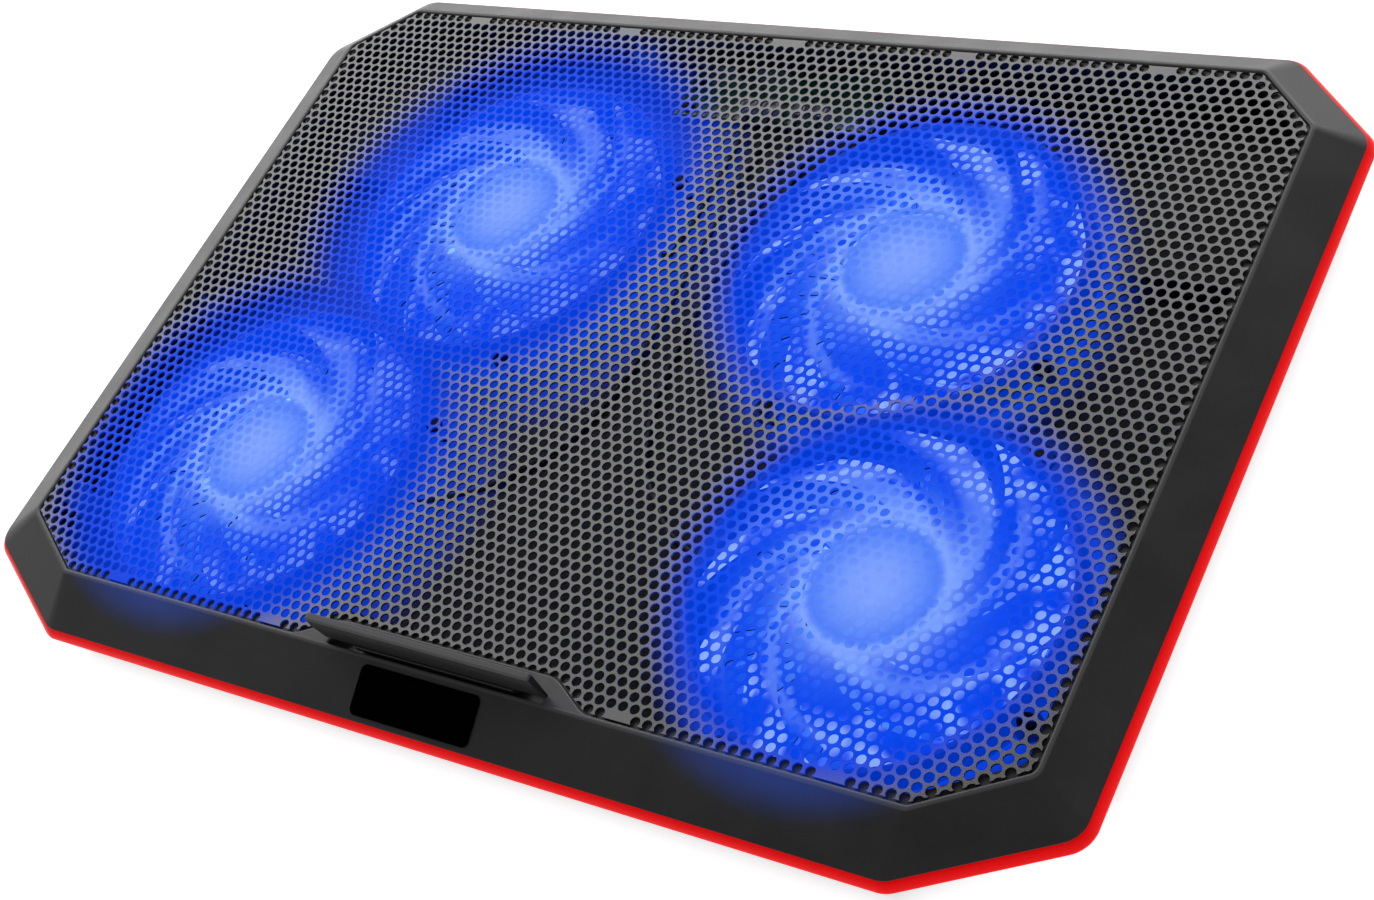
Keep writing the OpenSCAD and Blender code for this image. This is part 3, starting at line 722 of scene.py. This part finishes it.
POCKET_FRONT = PIVOT.y - 4.6
POCKET_REAR = OPENING_FRONT + BUMP_D - 1.2
POCKET_Z = PIVOT.z - 1.7
POCKET_HALF = 39.9
POCKET_REAR_HALF = 29
POCKET_LINE = [np.array(p) for p in ((-POCKET_HALF, POCKET_FRONT), (POCKET_HALF, POCKET_FRONT),
                                     (POCKET_REAR_HALF, POCKET_REAR), (-POCKET_REAR_HALF, POCKET_REAR))]


def pocket(d):
    """The stopper pocket's outline, drawn in by d."""
    return rounded(inset(POCKET_LINE, d), 0.8, 5)


def top_frame():
    """One closed skin: skirt, sloping bevel, lip, grille seat, stopper pocket and hollow underside."""
    s = Shell()
    under_z = POCKET_Z - 1
    foot = [s.ring(rounded(inset(TRIM_LINE, SKIRT_IN + WALL), 5), TRIM_Z),
            s.ring(rounded(inset(TRIM_LINE, SKIRT_IN), 6), TRIM_Z),
            s.ring(rounded(inset(TRIM_LINE, SKIRT_IN), 6), TRIM_TOP),
            s.ring(rounded(inset(TRIM_LINE, TRIM_OUT + 0.25), 8), TRIM_TOP)]
    bevel = [bevel_ring(s, share) for share in (0.02, 0.05, 0.95, 0.985)]
    lip = s.ring(rounded(inset(OPENING_LINE, 0.3 - LIP_W), 4), TOP_Z)
    s.bands(foot + bevel + [lip])
    edge = [s.ring(notched(d), TOP_Z - drop) for d, drop in
            ((-0.7, 0), (-0.48, 0.04), (-0.26, 0.16), (-0.09, 0.36), (0, 0.65), (0, TOP_Z - SEAT_Z),
             (3, TOP_Z - SEAT_Z), (3, TOP_Z - under_z))]
    s.bands(edge)
    hole = [s.ring(pocket(d), z) for d, z in ((-0.25, TOP_Z), (-0.07, TOP_Z - 0.07), (0, TOP_Z - 0.25),
                                              (0, POCKET_Z + 0.4), (0.4, POCKET_Z))]
    s.bands(hole)
    s.cap(hole[-1])
    s.sheet([lip, edge[0], hole[0]])
    hollow = s.ring(rounded(inset(OPENING_LINE, 0), 3), under_z)
    s.sheet([hollow, edge[-1]])
    s.band(hollow, foot[0])
    piece("top_frame_shell", s, "casing", FRAME_PLASTIC, ["top_frame"])


def red_trim():
    """A rounded bead, built as one ring of quads."""
    s = Shell()
    inner = SKIRT_IN - 0.1
    profile = [(0.7, 0), (0.2, 0.04), (0, 0.14), (0.04, 0.28), (0.26, 0.46), (0.6, 0.64), (1, 0.8),
               (1.45, 0.92), (1.85, 0.97), (2.1, 1), (inner, 1), (inner, 0)]
    height = TRIM_TOP - TRIM_Z
    rings = [s.ring(rounded(inset(TRIM_LINE, d), 9 - d / 2), TRIM_Z + share * height) for d, share in profile]
    s.bands(rings + [rings[0]])
    piece("red_trim_bead", s, "casing", TRIM_RED, ["red_trim"])


top_frame()
red_trim()

# ---- grille ----

HOLE_PITCH = 3.725
HOLE_ROW = 3.222
HOLE_R = 1.48
HOLE_SIDES = 12
SHEET_T = 0.6
TAB_W = 8
TAB_X = (-124, -62, 0, 62, 124)
CELL = 4     # side of the squares that the holes are sorted into, more than HOLE_R


def hole_centres():
    """Staggered rows over the whole sheet, left out at the short solid tabs on the front and rear edges."""
    rows = int((OPENING_REAR - OPENING_FRONT) / HOLE_ROW)
    columns = int(2 * OPENING_HALF / HOLE_PITCH) + 1
    middle_y = (OPENING_REAR + OPENING_FRONT) / 2
    found = []
    for row in range(-rows // 2, rows // 2 + 1):
        y = middle_y + row * HOLE_ROW
        for column in range(-columns // 2, columns // 2 + 1):
            x = (column + 0.5 * (row % 2)) * HOLE_PITCH
            at_edge = min(y - OPENING_FRONT, OPENING_REAR - y) < HOLE_ROW
            if not (at_edge and any(abs(x - t) < TAB_W / 2 for t in TAB_X)):
                found.append((x, y))
    return np.array(found)


def in_holes(points, centres):
    """Which points lie in one of the many-sided holes."""
    grid = {}
    for x, y in centres:
        grid.setdefault((int(x // CELL), int(y // CELL)), []).append((x, y))
    result = np.zeros(len(points), bool)
    for i, (x, y) in enumerate(points):
        column, row = int(x // CELL), int(y // CELL)
        near = [hole for a in (-1, 0, 1) for b in (-1, 0, 1) for hole in grid.get((column + a, row + b), ())]
        result[i] = any(in_hole(x - hole[0], y - hole[1]) for hole in near)
    return result


def in_hole(dx, dy):
    """Whether an offset from a hole's centre lies inside its straight-sided outline."""
    distance = math.hypot(dx, dy)
    if distance >= HOLE_R:
        return False
    step = 2 * math.pi / HOLE_SIDES
    off = math.atan2(dy, dx) % step - step / 2
    return distance * math.cos(off) < HOLE_R * math.cos(step / 2)


def grille():
    """The punched sheet, cut along its middle into two closed meshes that meet edge to edge."""
    outline = notched(GRILLE_GAP)
    centres = hole_centres()
    keep = inside(centres, [notched(GRILLE_GAP - HOLE_R)])
    centres = centres[keep]
    loops = [outline] + [circle(x, y, HOLE_R, HOLE_SIDES) for x, y in centres]
    points, triangles, _ = triangulate(loops)
    middles = points[triangles].mean(1)
    solid = inside(middles, [outline]) & ~in_holes(middles, centres)
    for name, side in (("grille_left", -1), ("grille_right", 1)):
        chosen = triangles[solid & (middles[:, 0] * side > 0)]
        sheet_piece(name, points, chosen)


def sheet_piece(name, points, triangles):
    """A flat sheet of triangles made solid: top, underside, and a wall along every open edge."""
    used, flat = np.unique(triangles, return_inverse=True)
    flat = flat.reshape(-1, 3)
    count = len(used)
    edges = np.concatenate([flat[:, [0, 1]], flat[:, [1, 2]], flat[:, [2, 0]]])
    keys = set(map(tuple, edges.tolist()))
    rim = [(a, b) for a, b in keys if (b, a) not in keys]
    s = Shell()
    for z in (TOP_Z, TOP_Z - SHEET_T):
        s.points += [(x, y, z) for x, y in points[used].tolist()]
    s.faces += [tuple(t) for t in flat.tolist()]
    s.faces += [(c + count, b + count, a + count) for a, b, c in flat.tolist()]
    s.faces += [(b, a, a + count, b + count) for a, b in sorted(rim)]
    piece(name, s, "casing", GRILLE_PAINT_AND_GLOW, ["grille"], sharp=30)


grille()

# ---- badge ----

BEVEL_RUN = OPENING_FRONT - LIP_W - FRONT_Y - TRIM_OUT
BEVEL_TILT = math.atan((TOP_Z - TRIM_TOP) / BEVEL_RUN)
BADGE_X = -2
BADGE_HALF = (21, 7.2)


def badge():
    """A blank plate that lies on the front bevel."""
    s = Shell()
    place = Matrix.Translation((BADGE_X, FRONT_Y + TRIM_OUT + BEVEL_RUN / 2, (TOP_Z + TRIM_TOP) / 2))
    place = place @ Matrix.Rotation(BEVEL_TILT, 4, "X")
    w, d = BADGE_HALF
    line = rectangle(-w, -d, w, d)
    rings = [s.ring(rounded(inset(line, off), 2, 8), z, place)
             for off, z in ((0, -0.6), (0, 0.3), (0.08, 0.47), (0.25, 0.57), (0.5, 0.6))]
    s.closed(rings)
    piece("badge_blank", s, "casing", BADGE_GLOSS, ["badge_plate"])


badge()

# ---- stopper ----

HINGE_GAP = 1.9         # from the hinge's axis to the flap's back and its lower edge
WEB_HALF = 28.5
BARREL_R = 1.3


def bar(s, profile, half, ends, corner, steps, tighter=0.0):
    """A bar across X with a (y, z) outline.

    ends says how far the outline is drawn in at each distance from an end. The corners' radius gets
    smaller there by that much times tighter.
    """
    places = [(e - half, d) for e, d in ends] + [(half - e, d) for e, d in reversed(ends)]
    rings = []
    for x, d in places:
        line = rounded(inset(profile, d), corner - d * tighter, steps)
        rings.append(s.ring([(x, y, z) for y, z in line]))
    s.closed(rings)


def stopper():
    """The upright plate of the stopper, and the web that joins it to its hinge."""
    s = Shell()
    front = FLAP_LOW.y
    back = PIVOT.y - HINGE_GAP
    top = FLAP_HIGH.z
    low = PIVOT.z + HINGE_GAP
    plate = [np.array(p) for p in ((front + 1.1, low), (back, low), (back, top), (front, top),
                                   (front, top - 3.5))]
    bar(s, plate, FLAP_HIGH.x, ((0, 0.55), (0.18, 0.2), (0.6, 0)), 0.45, 5, tighter=0.4)
    web_top = PIVOT.z + 2 * BARREL_R
    web = [np.array(p) for p in ((PIVOT.y - 3.4, PIVOT.z - 0.6), (PIVOT.y, PIVOT.z - BARREL_R),
                                 (PIVOT.y + 0.8, PIVOT.z - 0.2), (PIVOT.y, PIVOT.z + BARREL_R),
                                 (back, web_top), (front + 0.3, web_top))]
    bar(s, web, WEB_HALF, ((0, 0.3), (0.3, 0)), 0.25, 4)
    piece("stopper_bar", s, "stopper", STOPPER_PLASTIC, ["stopper_flap"])


stopper()

# ---- rotors ----

BLADES = 9
BLADE_SWEEP = 62        # degrees that a blade turns from its root to its tip
BLADE_R = 51.2
BLADE_SECTIONS = 14
HUB_R = 20
HUB_WALL = 1.4
HUB_SIDES = 64


def blade_section(share, low_z, high_z):
    """A closed loop round a blade, from its root at 0 to its tip at 1: thin edges, a curved middle."""
    root_r = HUB_R - 0.5
    r = root_r + (BLADE_R - root_r) * share
    turn = math.radians(BLADE_SWEEP * share)
    half = math.radians(17 - 4 * share)
    loop = []
    steps = 7
    for sign in (1, -1):
        for k in range(steps):
            c = k / steps if sign > 0 else 1 - k / steps
            lift = 0.5 - 0.5 * math.cos(math.pi * (0.12 + 0.8 * c))
            lift = (lift - 0.035) / 0.92
            thick = 0.75 * math.sin(math.pi * c) ** 0.5 + 0.08
            angle = turn + half * (2 * c - 1) - sign * thick / r
            z = low_z + 0.2 + (high_z - low_z - 0.4) * min(1, max(0, lift))
            loop.append((r * math.cos(angle), r * math.sin(angle), z))
    return loop


def rotor(fan):
    """The hub, a cup open below, and the swept blades."""
    s = Shell()
    at = FAN_AT[fan]
    low, high = node_box("fan_rotor_" + fan)
    top = high.z
    inner_r = HUB_R - HUB_WALL
    hub = s.lathe([(inner_r, low.z), (HUB_R - 0.4, low.z), (HUB_R, low.z + 0.4), (HUB_R, top - 1.2),
                   (HUB_R - 0.35, top - 0.45), (HUB_R - 1.1, top), (6.6, top), (6, top - 0.35),
                   (5.6, top - 0.4), (0.01, top - 0.4)], at.x, at.y, HUB_SIDES)
    inside_top = s.ring(circle(at.x, at.y, inner_r, HUB_SIDES), top - HUB_WALL)
    s.band(hub[0], inside_top)
    s.cap(inside_top)
    s.cap(hub[-1])
    place = Matrix.Translation((at.x, at.y, 0))
    for blade in range(BLADES):
        turn = place @ Matrix.Rotation(2 * math.pi * blade / BLADES, 4, "Z")
        rings = [s.ring(blade_section(k / BLADE_SECTIONS, low.z + 1.2, top - 0.4), place=turn)
                 for k in range(BLADE_SECTIONS + 1)]
        s.closed(rings)
    piece("rotor_" + fan, s, fan + "_rotor", ROTOR_GLOW, ["fan_rotor_" + fan])


for fan in FANS:
    rotor(fan)

# ---- bottom cover ----

SCREW_AT = ((174, -85), (174, -5), (174, 75), (75, -119), (60, 119.5), (145, 119.5))
BEZEL_Y = 131.5
BEZEL_X = (-40, 30)
PLATE_T = 5
WINDOW_IN = 0.6         # how far the window behind the plate stays inside the plate's ends
SOCKET_GAP = 0.2
KNOB_GAP = (0.4, 0.3)
KNOB_ROOM = 2.8         # room beside the knob for its travel
LEG_GAP = 0.6
SCREW_WELL_R = 3.2
SCREW_WELL_D = 4
POST_R = 4.2
VENT_RINGS = ((16, 14, 24, 1.5), (32, 28, 47, 1.7))     # slots, inner and outer radius, half width
COVER_SLOPE = 6.3       # how far the side slopes inwards, from the trim down to the bottom


def mirrored(places):
    """The places on the right, each with its twin on the left."""
    return [(side * x, y) for x, y in places for side in (-1, 1)]


def slot_line(centre, angle, r0, r1, half):
    """A slot that points away from a fan's axis, with round ends."""
    c, n = math.cos(angle), math.sin(angle)
    line = rounded(rectangle(r0, -half, r1, half), half * 0.92, 4)
    return [np.array((centre.x + p[0] * c - p[1] * n, centre.y + p[0] * n + p[1] * c)) for p in line]


def vent_slots():
    """The two rings of slots under each fan: centre, direction, inner and outer radius, half width."""
    slots = []
    for fan in FANS:
        for count, r0, r1, half in VENT_RINGS:
            slots += [(FAN_AT[fan], 2 * math.pi * k / count, r0, r1, half) for k in range(count)]
    return slots


def grown_slot(slot, d):
    """A slot's outline, made larger by d on every side."""
    centre, angle, r0, r1, half = slot
    return slot_line(centre, angle, r0 - d, r1 + d, half + d)


def leg_pocket_line(side):
    """The outline of a folded leg's pocket, with room for its pad in front and its swing behind."""
    low, high = node_box("leg_" + side)
    pad_low, _ = node_box("leg_pad_" + side)
    return rectangle(low.x - LEG_GAP, pad_low.y - 0.8, high.x + LEG_GAP, high.y + 1.4)


def side_in(z):
    """How far the cover's sloping side lies inside the trim's outline at a height."""
    return 1 + COVER_SLOPE * (TRIM_Z - z) / (TRIM_Z - COVER_Z)


def cover_sides(s):
    """The side from the bottom's edge up to the rim and back down inside. Returns the two end rings."""
    rings = [s.ring(rounded(inset(TRIM_LINE, d), 7.5), z) for d, z in
             ((side_in(COVER_Z) + 1.1, COVER_Z), (side_in(COVER_Z) + 0.5, COVER_Z + 0.12),
              (side_in(COVER_Z) - 0.05, COVER_Z + 0.45), (side_in(COVER_Z + 1.2), COVER_Z + 1.2),
              (side_in(COVER_Z + 2), COVER_Z + 2), (side_in(TRIM_Z - 0.5), TRIM_Z - 0.5),
              (side_in(TRIM_Z), TRIM_Z), (side_in(TRIM_Z) + WALL, TRIM_Z),
              (side_in(FLOOR_Z) + 1.4, FLOOR_Z))]
    s.bands(rings)
    return rings[0], rings[-1]


def cup(s, rings):
    """A wall through rings, closed at the last one. Returns the open first ring."""
    s.bands(rings)
    s.cap(rings[-1])
    return rings[0]


def vent(s, slot):
    """A slot through the bottom. Returns its lower and upper ring."""
    rings = [s.ring(grown_slot(slot, d), z) for d, z in
             ((0.3, COVER_Z), (0.08, COVER_Z + 0.1), (0, COVER_Z + 0.35), (0, FLOOR_Z))]
    s.bands(rings)
    return rings[0], rings[-1]


def leg_pocket(s, side):
    """A leg's pocket in the bottom, and the block over it inside. Returns their open rings."""
    line = leg_pocket_line(side)
    roof = node_box("leg_" + side)[1].z + LEG_GAP
    pocket_rings = [s.ring(rounded(inset(line, d), 1.2 - d, 5), z) for d, z in
                    ((-0.4, COVER_Z), (-0.1, COVER_Z + 0.12), (0, COVER_Z + 0.4), (0, roof))]
    opening = cup(s, pocket_rings)
    block = [s.ring(rounded(inset(line, -0.5), 1.7, 5), z) for z in (FLOOR_Z, roof + 1.6)]
    return opening, cup(s, block)


def screw_well(s, x, y):
    """A cover screw's well in the bottom, and the post over it inside. Returns their open rings."""
    well = [s.ring(circle(x, y, SCREW_WELL_R + d), z) for d, z in
            ((0.4, COVER_Z), (0.08, COVER_Z + 0.1), (0, COVER_Z + 0.35), (0, COVER_Z + SCREW_WELL_D))]
    opening = cup(s, well)
    post = [s.ring(circle(x, y, POST_R), z) for z in (FLOOR_Z, TRIM_Z - 0.02)]
    return opening, cup(s, post)


def bottom_cover():
    """One closed skin: sloping sides, bottom with vents, leg pockets and screw wells, and the inner floor."""
    s = Shell()
    pairs = [cover_sides(s)]
    pairs += [vent(s, slot) for slot in vent_slots()]
    pairs += [leg_pocket(s, side) for side in ("left", "right")]
    pairs += [screw_well(s, x, y) for x, y in mirrored(SCREW_AT)]
    s.sheet([below for below, _ in pairs])
    s.sheet([above for _, above in pairs])
    cover = piece("cover_shell", s, "casing", COVER_PLASTIC, ["bottom_cover"])
    cut_box(cover, (BEZEL_X[0] + WINDOW_IN, BEZEL_Y - 14, FLOOR_Z + WINDOW_IN),
            (BEZEL_X[1] - WINDOW_IN, BEZEL_Y + 6, TRIM_Z - 1 - WINDOW_IN))


def port_bezel():
    """The flat plate at the back round the two sockets and the switch, with a soft rim at each opening."""
    s = Shell()
    turned = Matrix.Translation((0, BEZEL_Y, 0)) @ Matrix.Rotation(math.radians(90), 4, "X")
    low_z, high_z = FLOOR_Z, TRIM_Z - 1
    line = rectangle(BEZEL_X[0], low_z, BEZEL_X[1], high_z)
    openings = []
    for port in ("usb_port_left", "usb_port_right"):
        low, high = node_box(port)
        openings.append(rectangle(low.x - SOCKET_GAP, low.z - SOCKET_GAP, high.x + SOCKET_GAP,
                                  high.z + SOCKET_GAP))
    low, high = node_box("switch_knob")
    gap_x, gap_z = KNOB_GAP
    openings.append(rectangle(low.x - gap_x, low.z - gap_z, high.x + KNOB_ROOM, high.z + gap_z))
    front = [s.ring(rounded(inset(line, d), 0.8 - d, 4), z, turned) for d, z in
             ((0, PLATE_T), (0, 0.3), (0.09, 0.09), (0.3, 0))]
    s.bands(front)
    back = [front[0]]
    face = [front[-1]]
    for opening in openings:
        rings = [s.ring(rounded(inset(opening, d), 0.4 - d, 4), z, turned) for d, z in
                 ((-0.3, 0), (-0.08, 0.08), (0, 0.3), (0, PLATE_T))]
        s.bands(rings)
        face.append(rings[0])
        back.append(rings[-1])
    s.sheet(face, across=(0, 2))
    s.sheet(back, across=(0, 2))
    piece("port_bezel", s, "casing", COVER_PLASTIC)


bottom_cover()
port_bezel()

# ---- kept CAD pieces ----


def dress(node, material, edge_mm=0.0):
    """Gives a CAD piece its material, and softens its edges where edge_mm is given."""
    obj = frame["nodes"][node]
    obj.data.materials.clear()
    obj.data.materials.append(material)
    if edge_mm:
        weld = obj.modifiers.new("weld", "WELD")
        weld.merge_threshold = 1e-6
        bevel = obj.modifiers.new("soft_edges", "BEVEL")
        bevel.width = edge_mm * MM
        bevel.segments = 2
        bevel.limit_method = "ANGLE"
        bevel.angle_limit = math.radians(40)


for side in ("left", "right"):
    dress("leg_" + side, LEG_PLASTIC, 0.3)
    dress("leg_pin_" + side, STEEL)
    dress("leg_pad_" + side, RUBBER, 0.3)
    dress("usb_port_" + side, USB_METAL)
for fan in FANS:
    dress("fan_frame_" + fan, FAN_PLASTIC)
    dress("rotor_shaft_" + fan, STEEL)
    dress("rotor_magnet_" + fan, MAGNET_GREY)
    dress("fan_bearing_" + fan, BEARING_BRASS)
    dress("fan_stator_" + fan, STATOR_COPPER)
    dress("motor_board_" + fan, BOARD_GREEN)
    dress("fan_lights_" + fan, LIGHT_BLUE)
    dress("fan_lead_" + fan, LEAD_RUBBER)
dress("stopper_pin", STEEL)
dress("rubber_feet", RUBBER, 0.4)
dress("cover_screws", STEEL)
dress("fan_screws", BLACK_STEEL)
dress("board_screws", BLACK_STEEL)
dress("control_board", BOARD_GREEN)
dress("lead_sockets", SOCKET_WHITE)
dress("switch_body", USB_METAL)
dress("switch_knob", KNOB_PLASTIC, 0.2)

# ---- floor and light ----


FLOOR_HALF = 4000
FLOOR_DROP = 0.2        # keeps the floor clear of the feet's faces


def floor():
    """A wide flat sheet just under the feet."""
    s = Shell()
    line = rounded(rectangle(-FLOOR_HALF, -FLOOR_HALF, FLOOR_HALF, FLOOR_HALF), FLOOR_HALF / 10, 12)
    s.cap(s.ring(line, -FLOOR_DROP))
    mesh = s.mesh("floor", closed=False)
    mesh.materials.append(floor_paint())
    add_object("floor", mesh)


def softbox(name, azimuth, elevation, distance, width, height, power):
    """A soft white panel that faces the pad from a direction, in degrees and metres."""
    data = bpy.data.lights.new(name, "AREA")
    data.shape = "RECTANGLE"
    data.size = width
    data.size_y = height
    data.energy = power
    a, e = math.radians(azimuth), math.radians(elevation)
    towards = Vector((math.cos(a) * math.cos(e), math.sin(a) * math.cos(e), math.sin(e)))
    obj = add_object(name, data)
    obj.location = towards * distance
    obj.rotation_euler = towards.to_track_quat("Z", "Y").to_euler()


def studio():
    """A pale room, bright near the horizon and dim higher up, with two soft panels behind the pad."""
    world = bpy.data.worlds.new("studio")
    world.use_nodes = True
    bpy.context.scene.world = world
    nodes, links = world.node_tree.nodes, world.node_tree.links
    place = nodes.new("ShaderNodeTexCoord")
    split = nodes.new("ShaderNodeSeparateXYZ")
    shade = nodes.new("ShaderNodeValToRGB")
    links.new(place.outputs["Generated"], split.inputs[0])
    links.new(split.outputs["Z"], shade.inputs["Fac"])
    links.new(shade.outputs["Color"], nodes["Background"].inputs["Color"])
    set_stops(shade.color_ramp, [(0.35, (0.88, 0.88, 0.88, 1)), (0.8, (0.2, 0.2, 0.205, 1)),
                                 (0.9, (0.2, 0.2, 0.205, 1)), (1.0, (0.6, 0.6, 0.61, 1))])
    nodes["Background"].inputs["Strength"].default_value = 1.0
    softbox("key", azimuth=135, elevation=35, distance=2.2, width=2.8, height=1.3, power=32)
    softbox("rear_fill", azimuth=86, elevation=24, distance=2.2, width=1.2, height=1.0, power=16)


floor()
studio()
bpy.context.scene.view_settings.view_transform = "Standard"
